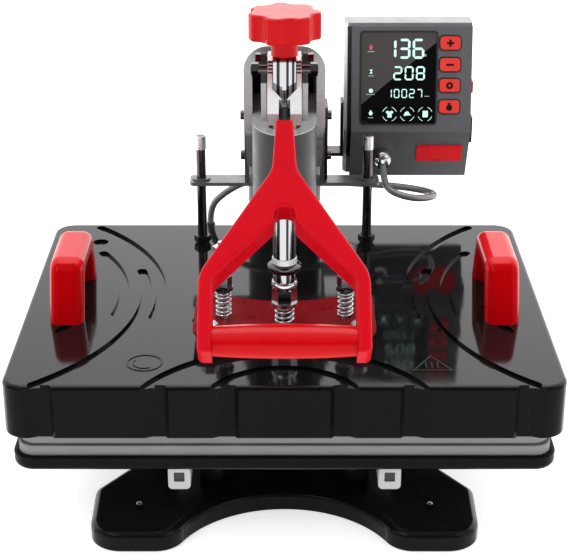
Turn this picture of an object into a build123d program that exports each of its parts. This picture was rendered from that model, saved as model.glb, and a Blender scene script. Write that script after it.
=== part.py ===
from build123d import *
import math
import os

# Swing-away heat press, closed: base with post, lower platen on rails, swinging arm with a
# ram, hinged pressing handle, heated upper platen under a moulded cover, control box.
# Millimetres. X is the operator's right, Y is away from the operator, Z is up.
# The origin is on the underside of the base, below the middle of the platens.

os.makedirs("parts", exist_ok=True)

# ---- driving dimensions -------------------------------------------------------------------
STACK_Y = -1.5            # middle of the platens and cover, front to back
PLATEN_W = 383.0          # 380 x 290 heated area with a narrow rim
PLATEN_D = 292.0
PLATEN_T = 10.0
COVER_W = 403.0
COVER_D = 313.0
COVER_T = 41.5
COVER_WALL = 4.0
PAD_W = 387.0
PAD_D = 296.0
PAD_T = 7.8
TRAY_W = 395.0
TRAY_D = 303.0
TRAY_T = 11.8
PRESS_GAP = 0.4           # closed gap between heated platen and pad

BASE_T = 16.0
RAIL = 18.0               # height of the rails under the tray
RAIL_W = 16.5
PILLAR_R = 12.0
CROSS_T = 4.0

Z_CROSS = 44.0
Z_RAIL = Z_CROSS + CROSS_T
Z_TRAY = Z_RAIL + RAIL
Z_PAD = Z_TRAY + TRAY_T
Z_PLATEN = Z_PAD + PAD_T + PRESS_GAP
Z_COVER = Z_PLATEN + PLATEN_T
Z_TOP = Z_COVER + COVER_T  # top of the cover

POST_Y = 200.0
POST_R = 22.0
RUN = 0.05                # radial running clearance
SLEEVE_R = 33.0
SLEEVE_Z = 145.0
SLEEVE_TOP = 262.0

RAM_Y = -60.0
RAM_R = 8.6
HEAD_HALF = 8.0           # half width of the ram's slotted head
NOSE_HALF = 23.4
NOSE_FRONT = -83.0
NOSE_LOW = 236.0
BEAM_LOW = 216.0
NOSE_TOP = 298.0
SHELL_HALF = 30.0
SHELL_FRONT = -31.0
SHELL_IN = NOSE_HALF + 0.2

PIVOT = (-42.0, 342.0)    # handle pivot, as (Y, Z)
CRANK = (-60.0, 340.0)    # crank pin through the ram's head, as (Y, Z)
HANDLE_ANGLE = 43.0       # closed handle, degrees below level
PIN_R = 3.0

ROD_X = 70.5
ROD_Y = 112.0
ROD_R = 4.0
CABLE_R = 3.0

HANDLE_PLANE = Plane(
    origin=(0, CRANK[0], CRANK[1]),
    x_dir=(1, 0, 0),
    z_dir=(0, -math.sin(math.radians(HANDLE_ANGLE)), math.cos(math.radians(HANDLE_ANGLE))),
)


def save(part, label):
    """Label one finished piece and write its file."""
    part.label = label
    export_step(part, f"parts/{label}.step")


# ---- base ---------------------------------------------------------------------------------
BASE_FRONT = -157.0
BASE_BACK = 246.0
ARCH_R = 86.0             # hollow in the front edge, between the two forward feet
ARCH_Y = -99.0 - ARCH_R
TOE = (144.5, BASE_FRONT)  # outer front corner of a forward foot
base_half = [TOE, (146, -92), (104, -32), (104, 110), (126, 165), (126, BASE_BACK)]
base_outline = base_half + [(-x, y) for x, y in reversed(base_half)]
RUBBER_SPOTS = [(-112, -122), (112, -122), (-100, 216), (100, 216)]
FOOT_SCREWS = [(-110, -118), (110, -118), (-100, 216), (100, 216)]
RUBBER_R = 14.0
RUBBER_T = 4.0

with BuildPart() as base_plate:
    with BuildSketch():
        with BuildLine():
            Polyline(*base_outline, close=True)
        make_face()
        with Locations((0, ARCH_Y)):
            Circle(ARCH_R, mode=Mode.SUBTRACT)
        fillet(vertices().filter_by(lambda v: abs(v.X) == TOE[0]), radius=24)
        fillet(vertices().filter_by(lambda v: v.Y > BASE_FRONT + 30), radius=13)
        fillet(vertices().filter_by(lambda v: v.Y < BASE_FRONT + 1 and abs(v.X) < 100), radius=22)
    extrude(amount=BASE_T)
    fillet(base_plate.edges().group_by(Axis.Z)[-1], radius=6)
    chamfer(base_plate.edges().group_by(Axis.Z)[0], length=0.8)
    with BuildSketch():
        with Locations(*RUBBER_SPOTS):
            Circle(RUBBER_R)
    extrude(amount=RUBBER_T, mode=Mode.SUBTRACT)
    with BuildSketch(Plane.XY.offset(BASE_T)):
        with Locations(*FOOT_SCREWS):
            Circle(3.5)
    extrude(amount=1.6)
save(base_plate.part, "base_plate")

with BuildPart() as rubber_feet:
    with BuildSketch():
        with Locations(*RUBBER_SPOTS):
            Circle(RUBBER_R)
    extrude(amount=RUBBER_T)
save(rubber_feet.part, "rubber_feet")

# ---- lower platen: pillars, cross plates, rails, tray, pad --------------------------------
PILLAR_X = 54.5
PILLAR_Y = 75.0
PILLARS = {"front_left": (-PILLAR_X, -PILLAR_Y), "front_right": (PILLAR_X, -PILLAR_Y), "rear": (0, PILLAR_Y)}
for place, spot in PILLARS.items():
    with BuildPart() as pillar:
        with BuildSketch(Plane((spot[0], spot[1], BASE_T))):
            Circle(PILLAR_R)
        extrude(amount=Z_CROSS - BASE_T)
        chamfer(pillar.edges().group_by(Axis.Z)[0], length=0.6)
    save(pillar.part, f"support_pillar_{place}")

for end_name, sy in (("front", -1), ("rear", 1)):
    with BuildPart() as cross_plate:
        with BuildSketch(Plane((0, sy * PILLAR_Y, Z_CROSS))):
            RectangleRounded(176, 34, 6)
        extrude(amount=CROSS_T)
    save(cross_plate.part, f"cross_plate_{end_name}")

RAIL_X = 76.8
RAIL_FRONT = -146.0
RAIL_BACK = 130.0
for side_name, sx in (("left", -1), ("right", 1)):
    with BuildPart() as rail:
        end = Plane(origin=(sx * RAIL_X, RAIL_BACK, Z_RAIL + RAIL / 2), x_dir=(1, 0, 0), z_dir=(0, -1, 0))
        with BuildSketch(end):
            RectangleRounded(RAIL_W, RAIL, 3)
        extrude(amount=RAIL_BACK - RAIL_FRONT)
    save(rail.part, f"tray_rail_{side_name}")

with BuildPart() as lower_tray:
    with BuildSketch(Plane((0, STACK_Y, Z_TRAY))):
        RectangleRounded(TRAY_W, TRAY_D, 16)
    extrude(amount=TRAY_T)
    fillet(lower_tray.edges().group_by(Axis.Z)[0], radius=5)
    fillet(lower_tray.edges().group_by(Axis.Z)[-1], radius=1.2)
save(lower_tray.part, "lower_tray")

with BuildPart() as silicone_pad:
    with BuildSketch(Plane((0, STACK_Y, Z_PAD))):
        RectangleRounded(PAD_W, PAD_D, 13)
    extrude(amount=PAD_T)
    fillet(silicone_pad.edges().group_by(Axis.Z)[-1], radius=1)
save(silicone_pad.part, "silicone_pad")

# ---- post ---------------------------------------------------------------------------------
FLANGE_R = 44.0
FLANGE_T = 8.0
POST_TOP = SLEEVE_TOP - 4.0
COLLAR_T = 14.0           # thrust collar that carries the sleeve
with BuildPart() as post:
    with BuildSketch(Plane((0, POST_Y, BASE_T))):
        Circle(FLANGE_R)
    extrude(amount=FLANGE_T)
    chamfer(post.edges().group_by(Axis.Z)[-1], length=1.5)
    with BuildSketch(Plane((0, POST_Y, BASE_T))):
        Circle(POST_R)
    extrude(amount=POST_TOP - BASE_T)
    chamfer(post.edges().group_by(Axis.Z)[-1], length=1)
    with BuildSketch(Plane((0, POST_Y, SLEEVE_Z - COLLAR_T - 0.2))):
        Circle(SLEEVE_R - 1)
    extrude(amount=COLLAR_T)
save(post.part, "post")

FLANGE_BOLTS = 4
with BuildPart() as flange_bolts:
    with BuildSketch(Plane((0, POST_Y, BASE_T + FLANGE_T))):
        with PolarLocations(34, FLANGE_BOLTS, start_angle=45):
            RegularPolygon(6, 6)
    extrude(amount=5)
save(flange_bolts.part, "flange_bolts")

# ---- arm casting: nose, beam and post sleeve ----------------------------------------------
BEAM_TOP = 258.0
NOSE_BACK = 20.0
NOSE_ROUND = 36.0         # front to back half axis of the nose's rounded front
BUSH_R = 11.5
EAR_IN = 13.0             # the two ears that carry the handle pivot
EAR_OUT = 17.0
EAR_R = 5.5
ear_side = [(-47.5, NOSE_TOP), (-24, NOSE_TOP), (-24, 304), (-36.5, PIVOT[1]), (-47.5, PIVOT[1])]
with BuildPart() as arm_casting:
    with BuildSketch(Plane.XY.offset(NOSE_LOW)):
        with Locations((0, NOSE_FRONT + NOSE_ROUND)):
            Ellipse(NOSE_HALF, NOSE_ROUND)
        with Locations((0, (NOSE_FRONT + NOSE_ROUND + NOSE_BACK) / 2)):
            Rectangle(2 * NOSE_HALF, NOSE_BACK - NOSE_FRONT - NOSE_ROUND)
    extrude(amount=NOSE_TOP - NOSE_LOW)
    with BuildSketch(Plane.YZ.offset(-NOSE_HALF)):
        with BuildLine():
            Polyline((NOSE_BACK, NOSE_LOW), (NOSE_BACK + 25, BEAM_LOW), (POST_Y, BEAM_LOW), (POST_Y, BEAM_TOP),
                     (70, BEAM_TOP), (NOSE_BACK, NOSE_TOP), close=True)
        make_face()
    extrude(amount=2 * NOSE_HALF)
    with BuildSketch(Plane((0, POST_Y, SLEEVE_Z))):
        Circle(SLEEVE_R)
    extrude(amount=SLEEVE_TOP - SLEEVE_Z)
    with BuildSketch(Plane((0, POST_Y, SLEEVE_Z))):
        Circle(POST_R + RUN)
    extrude(amount=SLEEVE_TOP - SLEEVE_Z, mode=Mode.SUBTRACT)
    with BuildSketch(Plane((0, RAM_Y, NOSE_LOW))):
        Circle(BUSH_R)
    extrude(amount=NOSE_TOP - NOSE_LOW, mode=Mode.SUBTRACT)
    for x_low in (-EAR_OUT, EAR_IN):
        with BuildSketch(Plane.YZ.offset(x_low)):
            with BuildLine():
                Polyline(*ear_side, close=True)
            make_face()
            with Locations(PIVOT):
                Circle(EAR_R)
                Circle(PIN_R, mode=Mode.SUBTRACT)
        extrude(amount=EAR_OUT - EAR_IN)
save(arm_casting.part, "arm_casting")

with BuildPart() as ram_bush:
    with BuildSketch(Plane((0, RAM_Y, NOSE_LOW - 2))):
        Circle(BUSH_R)
        Circle(RAM_R + RUN, mode=Mode.SUBTRACT)
    extrude(amount=NOSE_TOP - NOSE_LOW + 2)
save(ram_bush.part, "ram_bush")

with BuildPart() as sleeve_cap:
    with BuildSketch(Plane((0, POST_Y, SLEEVE_TOP))):
        Circle(SLEEVE_R - 1)
    extrude(amount=5)
    fillet(sleeve_cap.edges().group_by(Axis.Z)[-1], radius=3)
save(sleeve_cap.part, "sleeve_cap")

# ---- arm shell: a hood that wraps the arm from above, open at the front --------------------
SHELL_TOP = 349.0
SHELL_LIP = 288.0
SHELL_WALL = SHELL_HALF - SHELL_IN
SHELL_BACK = 162.0
shell_side = [
    (SHELL_FRONT, SHELL_LIP),
    (SHELL_FRONT, SHELL_TOP),
    (140, 302),
    (SHELL_BACK, 280),
    (SHELL_BACK, 224),
    (62, 224),
    (14, 266),
]
shell_hollow = [
    (SHELL_FRONT - 10, 200),
    (SHELL_FRONT - 10, SHELL_TOP - SHELL_WALL + 2.7),
    (137, 302 - SHELL_WALL - 0.5),
    (SHELL_BACK - 5, 276),
    (SHELL_BACK - 5, 200),
]
with BuildPart() as shell_core:
    with BuildSketch(Plane.YZ.offset(-SHELL_IN)):
        with BuildLine():
            Polyline(*shell_hollow, close=True)
        make_face()
    extrude(amount=2 * SHELL_IN)
    inner_ridge = shell_core.faces().filter_by(lambda f: f.normal_at().Z > 0.5).edges()
    fillet(inner_ridge.filter_by(lambda e: abs(e.center().X) > SHELL_IN - 0.1), radius=12)

with BuildPart() as arm_shell:
    with BuildSketch(Plane.YZ.offset(-SHELL_HALF)):
        with BuildLine():
            Polyline(*shell_side, close=True)
        make_face()
    extrude(amount=2 * SHELL_HALF)
    ridge = arm_shell.faces().filter_by(lambda f: f.normal_at().Z > 0.5).edges()
    fillet(ridge.filter_by(lambda e: abs(e.center().X) > SHELL_HALF - 0.1), radius=18)
    add(shell_core.part, mode=Mode.SUBTRACT)
    with BuildSketch(Plane.XZ.offset(-SHELL_BACK - 5)):
        with Locations((0, (BEAM_TOP + 200) / 2)):
            Rectangle(2 * SHELL_IN, BEAM_TOP - 200 + 0.4)
    extrude(amount=20, mode=Mode.SUBTRACT)
save(arm_shell.part, "arm_shell")

# ---- handle pivot pin ---------------------------------------------------------------------
PIN_NUT_R = 5.2
PIN_NUT_T = 4.0
with BuildPart() as pivot_pin:
    with BuildSketch(Plane.YZ.offset(-EAR_OUT)):
        with Locations(PIVOT):
            Circle(PIN_R)
    extrude(amount=2 * EAR_OUT)
    for plane, height in ((Plane.YZ.offset(EAR_OUT), PIN_NUT_T), (Plane.YZ.offset(-EAR_OUT), -PIN_NUT_T)):
        with BuildSketch(plane):
            with Locations(PIVOT):
                RegularPolygon(PIN_NUT_R, 6)
        extrude(amount=height)
save(pivot_pin.part, "pivot_pin")

# ---- guide-rod bracket --------------------------------------------------------------------
BRACKET_Z = 192.5
BRACKET_T = 3.0
FLANGE_OUT = SHELL_HALF + 3.4
ROD_BUSH_R = 7.5
with BuildPart() as rod_bracket:
    with BuildSketch(Plane.XY.offset(BRACKET_Z)):
        with Locations((0, ROD_Y)):
            RectangleRounded(160, 20, 4)
        with Locations((-ROD_X, ROD_Y), (ROD_X, ROD_Y)):
            Circle(ROD_R + RUN, mode=Mode.SUBTRACT)
    extrude(amount=BRACKET_T)
    with BuildSketch(Plane.XY.offset(BRACKET_Z + BRACKET_T)):
        with Locations((-ROD_X, ROD_Y), (ROD_X, ROD_Y)):
            Circle(ROD_BUSH_R)
            Circle(ROD_R + RUN, mode=Mode.SUBTRACT)
    extrude(amount=1.5)
    for x_low in (-FLANGE_OUT, SHELL_HALF):
        with BuildSketch(Plane.YZ.offset(x_low)):
            with BuildLine():
                Polyline((104, BRACKET_Z + 1), (120, BRACKET_Z + 1), (131, 262), (93, 262), close=True)
            make_face()
        extrude(amount=FLANGE_OUT - SHELL_HALF)
save(rod_bracket.part, "rod_bracket")

# ---- ram assembly, which lifts the upper platen ---------------------------------------------
PLATE_MID_Z = 141.0       # top of the bowed plate in the middle
PLATE_BOW = 11.0
PLATE_END_Z = PLATE_MID_Z + PLATE_BOW
PLATE_HALF_W = 68.0
PLATE_FRONT = -105.0
PLATE_BACK = -19.0
PLATE_T = 3.0
STUD_X = 46.0
STUD_R = 3.0
RAM_STUD_R = 5.0
NUT_LOW = 160.0
NUT_TOP = 171.0
RAM_STEP = 300.0
HEAD_LOW = 326.0
HEAD_TOP = 350.0
PLATE_BOLTS = [(-60, -31), (60, -31), (-55, -94), (55, -94)]
BOLT_R = 3.0

with BuildPart() as pressure_plate:
    with BuildSketch(Plane.XZ.offset(-PLATE_BACK)):
        with BuildLine():
            ThreePointArc((-PLATE_HALF_W, PLATE_END_Z), (0, PLATE_MID_Z), (PLATE_HALF_W, PLATE_END_Z))
            Line((PLATE_HALF_W, PLATE_END_Z), (PLATE_HALF_W, PLATE_END_Z - PLATE_T))
            ThreePointArc((PLATE_HALF_W, PLATE_END_Z - PLATE_T), (0, PLATE_MID_Z - PLATE_T),
                          (-PLATE_HALF_W, PLATE_END_Z - PLATE_T))
            Line((-PLATE_HALF_W, PLATE_END_Z - PLATE_T), (-PLATE_HALF_W, PLATE_END_Z))
        make_face()
    extrude(amount=PLATE_BACK - PLATE_FRONT)
    with BuildSketch(Plane.XY.offset(PLATE_MID_Z - 20)):
        with Locations((0, (PLATE_FRONT + PLATE_BACK) / 2)):
            RectangleRounded(2 * PLATE_HALF_W, PLATE_BACK - PLATE_FRONT, 16)
    extrude(amount=60, mode=Mode.INTERSECT)
    with BuildSketch(Plane.XY.offset(PLATE_MID_Z - 20)):
        with Locations((0, RAM_Y)):
            Circle(RAM_STUD_R + 0.3)
        with Locations((-STUD_X, RAM_Y - 1), (STUD_X, RAM_Y - 1)):
            Circle(STUD_R + 0.5)
        with Locations(*PLATE_BOLTS):
            Circle(BOLT_R + 0.5)
    extrude(amount=60, mode=Mode.SUBTRACT)
save(pressure_plate.part, "pressure_plate")

with BuildPart() as plate_spacers:
    with BuildSketch(Plane.XY.offset(Z_TOP)):
        with Locations(*PLATE_BOLTS):
            Circle(6)
            Circle(BOLT_R + 0.2, mode=Mode.SUBTRACT)
    extrude(amount=5.3)
save(plate_spacers.part, "plate_spacers")

with BuildPart() as plate_bolts:
    with BuildSketch(Plane.XY.offset(Z_TOP)):
        with Locations(*PLATE_BOLTS):
            Circle(BOLT_R)
    extrude(amount=14.5)
    with BuildSketch(Plane.XY.offset(Z_TOP + 14)):
        with Locations(*PLATE_BOLTS):
            RegularPolygon(6.6, 6)
    extrude(amount=5.5)
save(plate_bolts.part, "plate_bolts")

SLOT_FRONT = -64.0
SLOT_BACK = -50.5
SLOT_HALF_H = 4.6
SPINDLE_R = 4.0
SPINDLE_TOP = 370.0
with BuildPart() as ram_shaft:
    with BuildSketch(Plane((0, RAM_Y, PLATE_MID_Z - PLATE_T))):
        Circle(RAM_STUD_R)
    extrude(amount=NUT_TOP - PLATE_MID_Z + PLATE_T)
    with BuildSketch(Plane((0, RAM_Y, NUT_TOP))):
        Circle(RAM_R)
    extrude(amount=RAM_STEP - NUT_TOP)
    with BuildSketch(Plane((0, RAM_Y, RAM_STEP))):
        Circle(HEAD_HALF)
    extrude(amount=HEAD_LOW - RAM_STEP)
    with BuildSketch(Plane.YZ.offset(-HEAD_HALF)):
        with Locations((RAM_Y, (HEAD_LOW + HEAD_TOP) / 2)):
            RectangleRounded(24, HEAD_TOP - HEAD_LOW, 2)
        with Locations(((SLOT_FRONT + SLOT_BACK) / 2, CRANK[1])):
            RectangleRounded(SLOT_BACK - SLOT_FRONT, 2 * SLOT_HALF_H, SLOT_HALF_H - 0.1, mode=Mode.SUBTRACT)
    extrude(amount=2 * HEAD_HALF)
    with BuildSketch(Plane((0, RAM_Y, HEAD_TOP))):
        Circle(SPINDLE_R)
    extrude(amount=SPINDLE_TOP - HEAD_TOP)
save(ram_shaft.part, "ram_shaft")

WASHER_T = 3.0
RAM_NUT_R = 9.6           # corner radius of the hexagon
with BuildPart() as ram_nut:
    with BuildSketch(Plane((0, RAM_Y, NUT_LOW))):
        RegularPolygon(RAM_NUT_R, 6)
    extrude(amount=NUT_TOP - NUT_LOW)
    with BuildSketch(Plane((0, RAM_Y, NUT_LOW - WASHER_T))):
        Circle(RAM_NUT_R + 0.6)
    extrude(amount=WASHER_T)
    with BuildSketch(Plane((0, RAM_Y, NUT_LOW - WASHER_T))):
        Circle(RAM_STUD_R)
    extrude(amount=NUT_TOP - NUT_LOW + WASHER_T, mode=Mode.SUBTRACT)
save(ram_nut.part, "ram_nut")

with BuildPart() as ram_spring:
    with BuildSketch(Plane((0, RAM_Y, PLATE_MID_Z + 0.8))):
        Circle(7.6)
        Circle(5.4, mode=Mode.SUBTRACT)
    extrude(amount=NUT_LOW - WASHER_T - PLATE_MID_Z - 0.8)
save(ram_spring.part, "ram_spring")

SPRING_LOW = 147.6
SPRING_TOP = 170.0
STUD_TOP = 187.0
with BuildPart() as spring_studs:
    with BuildSketch(Plane.XY.offset(Z_TOP)):
        with Locations((-STUD_X, RAM_Y - 1), (STUD_X, RAM_Y - 1)):
            Circle(STUD_R)
    extrude(amount=STUD_TOP - Z_TOP)
save(spring_studs.part, "spring_studs")

for side_name, sx in (("left", -1), ("right", 1)):
    with BuildPart() as side_spring:
        with BuildSketch(Plane((sx * STUD_X, RAM_Y - 1, SPRING_LOW))):
            Circle(6.2)
            Circle(4.2, mode=Mode.SUBTRACT)
        extrude(amount=SPRING_TOP - SPRING_LOW)
    save(side_spring.part, f"side_spring_{side_name}")

with BuildPart() as spring_nuts:
    with BuildSketch(Plane.XY.offset(SPRING_TOP)):
        with Locations((-STUD_X, RAM_Y - 1), (STUD_X, RAM_Y - 1)):
            Circle(7.4)
            Circle(STUD_R, mode=Mode.SUBTRACT)
    extrude(amount=2.5)
    with BuildSketch(Plane.XY.offset(SPRING_TOP + 2.5)):
        with Locations((-STUD_X, RAM_Y - 1), (STUD_X, RAM_Y - 1)):
            RegularPolygon(6.6, 6)
            Circle(STUD_R, mode=Mode.SUBTRACT)
    extrude(amount=8.5)
save(spring_nuts.part, "spring_nuts")

# ---- upper platen and its cover -------------------------------------------------------------
with BuildPart() as heat_platen:
    with BuildSketch(Plane((0, STACK_Y, Z_PLATEN))):
        RectangleRounded(PLATEN_W, PLATEN_D, 12)
    extrude(amount=PLATEN_T)
    chamfer(heat_platen.edges().group_by(Axis.Z)[0], length=0.6)
save(heat_platen.part, "heat_platen")

INSULATION_T = 24.0
with BuildPart() as insulation:
    with BuildSketch(Plane((0, STACK_Y, Z_COVER))):
        RectangleRounded(PLATEN_W - 10, PLATEN_D - 10, 12)
    extrude(amount=INSULATION_T)
save(insulation.part, "insulation")

COVER_CORNER = 17.0
COVER_FRONT = STACK_Y - COVER_D / 2
COVER_BACK = STACK_Y + COVER_D / 2
COVER_RIM = 12.5          # wall at the foot of the cover, which rests on the platen
COVER_EDGE = 3.5          # rounding of the top edge
GROOVE_W = 8.0
GROOVE_D = 2.4
# decorative grooves: centre X, centre Y, radius, start and end angle
side_grooves = [(209, 46, -10), (197, 16, -49), (179, 31, -10), (150, -7, -24)]
grooves = [(-307, -5, radius, high, low) for radius, high, low in side_grooves]
grooves += [(307, -5, radius, 180 - low, 180 - high) for radius, high, low in side_grooves]
grooves += [(0, -208.3, 110.3, 152, 28), (0, -183.5, 55.5, 150, 30), (0, 0, 82, 215, 325)]
groove_lines = [CenterArc((x, y), radius, start, end - start) for x, y, radius, start, end in grooves]
NOTCH_D = 3.5             # where the ripples run out through the front edge
# each notch: outer edge, start of its floor, inner edge, with a broad slant on the outer side
notches = [(-186, -176, -163.5), (-102.5, -94.5, -82), (-54, -46.5, -32.5)]
notches += [(-outer, -floor, -inner) for outer, floor, inner in notches]

with BuildPart() as cover:
    with BuildSketch(Plane((0, STACK_Y, Z_COVER))):
        RectangleRounded(COVER_W, COVER_D, COVER_CORNER)
    extrude(amount=COVER_T)
    fillet(cover.edges().group_by(Axis.Z)[-1], radius=COVER_EDGE)
    fillet(cover.edges().group_by(Axis.Z)[0], radius=1.5)
    with BuildSketch(Plane((0, STACK_Y, Z_COVER))):
        RectangleRounded(COVER_W - 2 * COVER_RIM, COVER_D - 2 * COVER_RIM, 10)
    extrude(amount=COVER_T - COVER_WALL, mode=Mode.SUBTRACT)
    with BuildSketch(Plane.XY.offset(Z_TOP)):
        for line in groove_lines:
            SlotArc(line, GROOVE_W)
        with Locations((-158.5, 112)):
            Circle(6.5)
    extrude(amount=-GROOVE_D, mode=Mode.SUBTRACT)
    with BuildSketch(Plane.XY.offset(Z_COVER)):
        for outer, floor, inner in notches:
            step = inner + math.copysign(3, outer)
            with BuildLine():
                Polyline((outer, COVER_FRONT), (floor, COVER_FRONT + NOTCH_D), (step, COVER_FRONT + NOTCH_D),
                         (inner, COVER_FRONT), (inner, COVER_FRONT - 1), (outer, COVER_FRONT - 1), close=True)
            make_face()
    extrude(amount=COVER_T, mode=Mode.SUBTRACT)
save(cover.part, "cover")

REAR_BOLT_X = 53.0
REAR_BOLT_Y = 76.0
with BuildPart() as cover_bolts:
    with BuildSketch(Plane.XY.offset(Z_TOP)):
        with Locations((-REAR_BOLT_X, REAR_BOLT_Y), (REAR_BOLT_X, REAR_BOLT_Y)):
            Circle(8)
    extrude(amount=3)
    with BuildSketch(Plane.XY.offset(Z_TOP + 3)):
        with Locations((-REAR_BOLT_X, REAR_BOLT_Y), (REAR_BOLT_X, REAR_BOLT_Y)):
            RegularPolygon(7.2, 6)
    extrude(amount=8)
    with BuildSketch(Plane.XY.offset(Z_TOP + 11)):
        with Locations((-REAR_BOLT_X, REAR_BOLT_Y), (REAR_BOLT_X, REAR_BOLT_Y)):
            Circle(STUD_R)
    extrude(amount=4)
save(cover_bolts.part, "cover_bolts")

ROD_TOP = 234.0
for side_name, sx in (("left", -1), ("right", 1)):
    with BuildPart() as guide_rod:
        with BuildSketch(Plane((sx * ROD_X, ROD_Y, Z_TOP))):
            Circle(ROD_R)
        extrude(amount=ROD_TOP - Z_TOP)
        chamfer(guide_rod.edges().group_by(Axis.Z)[-1], length=0.6)
    save(guide_rod.part, f"guide_rod_{side_name}")

with BuildPart() as rod_nuts:
    with BuildSketch(Plane.XY.offset(Z_TOP)):
        with Locations((-ROD_X, ROD_Y), (ROD_X, ROD_Y)):
            Circle(6)
            Circle(ROD_R, mode=Mode.SUBTRACT)
    extrude(amount=2)
    with BuildSketch(Plane.XY.offset(Z_TOP + 2)):
        with Locations((-ROD_X, ROD_Y), (ROD_X, ROD_Y)):
            RegularPolygon(7.2, 6)
            Circle(ROD_R, mode=Mode.SUBTRACT)
    extrude(amount=5)
save(rod_nuts.part, "rod_nuts")

# side handles: an arch from front to back near each end of the cover
GRIP_W = 26.0
GRIP_X = 167.0
GRIP_TOP = 183.0
GRIP_UNDER = 165.0
grip_side = [(-56, Z_TOP), (-37, GRIP_TOP), (30, GRIP_TOP), (49, Z_TOP)]
grip_side += [(28, Z_TOP), (16, GRIP_UNDER), (-23, GRIP_UNDER), (-35, Z_TOP)]
for side_name, sx in (("left", -1), ("right", 1)):
    with BuildPart() as side_handle:
        with BuildSketch(Plane.YZ.offset(sx * GRIP_X - GRIP_W / 2)):
            with BuildLine():
                Polyline(*grip_side, close=True)
            make_face()
            tops = vertices().filter_by(lambda v: v.Y > Z_TOP + 1)
            fillet(tops.filter_by(lambda v: v.Y > GRIP_TOP - 1), radius=14)
            fillet(vertices().filter_by(lambda v: v.Y == GRIP_UNDER), radius=7)
        extrude(amount=GRIP_W)
        round_edges = side_handle.edges().filter_by(
            lambda e: abs(abs(e.center().X - sx * GRIP_X) - GRIP_W / 2) < 0.01)
        round_edges = round_edges.filter_by(lambda e: e.center().Z > Z_TOP + 0.5)
        fillet(round_edges, radius=7.5)
    save(side_handle.part, f"side_handle_{side_name}")

# ---- knob -----------------------------------------------------------------------------------
HUB_LOW = HEAD_TOP + 0.3
KNOB_LOW = 363.0
KNOB_TOP = 382.0
KNOB_R = 26.0
LOBES = 7
HUB_R = 9.4
with BuildPart() as knob:
    with BuildSketch(Plane((0, RAM_Y, KNOB_LOW))):
        Circle(KNOB_R)
        with PolarLocations(KNOB_R + 7, LOBES, start_angle=-82):
            Circle(10.5, mode=Mode.SUBTRACT)
        fillet(vertices(), radius=3)
    extrude(amount=KNOB_TOP - KNOB_LOW)
    fillet(knob.edges().group_by(Axis.Z)[-1], radius=2)
    fillet(knob.edges().group_by(Axis.Z)[0], radius=1.2)
    with BuildSketch(Plane((0, RAM_Y, HUB_LOW))):
        Circle(HUB_R)
    extrude(amount=KNOB_LOW - HUB_LOW + 1)
    with BuildSketch(Plane((0, RAM_Y, HUB_LOW))):
        Circle(SPINDLE_R + RUN)
    extrude(amount=SPINDLE_TOP - HUB_LOW + 0.5, mode=Mode.SUBTRACT)
save(knob.part, "knob")

# ---- pressing handle --------------------------------------------------------------------------
# On HANDLE_PLANE the local x is X and the local -y runs down the handle from the crank pin.
FORK_HALF = 12.0
FORK_IN = 8.5
FORK_T = 8.0              # half thickness across the handle plane
FORK_END = 41.0
SLOT_END = 31.5           # point of the fork's V-shaped bottom
V_START = 21.0
SHANK_R = 4.0
down = Vector(0, -math.cos(math.radians(HANDLE_ANGLE)), -math.sin(math.radians(HANDLE_ANGLE)))
crank_at = Vector(0, CRANK[0], CRANK[1])
fork_mid = crank_at + down * 22
with BuildPart() as handle_fork:
    with BuildSketch(Plane.YZ.offset(-FORK_HALF)):
        with Locations(PIVOT):
            Circle(6.0)
        with Locations(CRANK):
            Circle(6.6)
        with Locations((fork_mid.Y, fork_mid.Z)):
            Circle(FORK_T)
        make_hull()
    extrude(amount=2 * FORK_HALF)
    with BuildSketch(HANDLE_PLANE.offset(-FORK_T)):
        with Locations((0, -(22 + FORK_END) / 2)):
            Rectangle(2 * FORK_HALF, FORK_END - 22)
    extrude(amount=2 * FORK_T)
    with BuildSketch(HANDLE_PLANE.offset(-20)):
        with BuildLine():
            Polyline((-FORK_IN, 40), (FORK_IN, 40), (FORK_IN, -V_START), (0, -SLOT_END),
                     (-FORK_IN, -V_START), close=True)
        make_face()
    extrude(amount=40, mode=Mode.SUBTRACT)
    with BuildSketch(HANDLE_PLANE):
        with Locations((0, -(SLOT_END + FORK_END) / 2)):
            Rectangle(2 * SHANK_R, FORK_END - SLOT_END + 4)
    extrude(amount=FORK_T, mode=Mode.SUBTRACT)
    shank_plane = Plane(origin=crank_at + down * (SLOT_END - 2), z_dir=down)
    with BuildSketch(shank_plane):
        Circle(SHANK_R)
    extrude(amount=14, mode=Mode.SUBTRACT)
    with BuildSketch(Plane.YZ.offset(-FORK_HALF)):
        with Locations(PIVOT):
            Circle(PIN_R + RUN)
        with Locations(CRANK):
            Circle(PIN_R)
    extrude(amount=2 * FORK_HALF, mode=Mode.SUBTRACT)
save(handle_fork.part, "handle_fork")

CRANK_NUT_IN = 18.5
CRANK_NUT_OUT = 24.0
with BuildPart() as crank_pin:
    with BuildSketch(Plane.YZ.offset(-CRANK_NUT_OUT)):
        with Locations(CRANK):
            Circle(PIN_R)
    extrude(amount=2 * CRANK_NUT_OUT)
    for plane, height in ((Plane.YZ.offset(CRANK_NUT_IN), 5), (Plane.YZ.offset(-CRANK_NUT_IN), -5)):
        with BuildSketch(plane):
            with Locations(CRANK):
                RegularPolygon(5.2, 6)
        extrude(amount=height)
save(crank_pin.part, "crank_pin")

SHANK_START = 33.0
SHANK_END = 62.0
with BuildPart() as handle_shank:
    with BuildSketch(Plane(origin=crank_at + down * SHANK_START, z_dir=down)):
        Circle(SHANK_R)
    extrude(amount=SHANK_END - SHANK_START)
save(handle_shank.part, "handle_shank")

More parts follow.
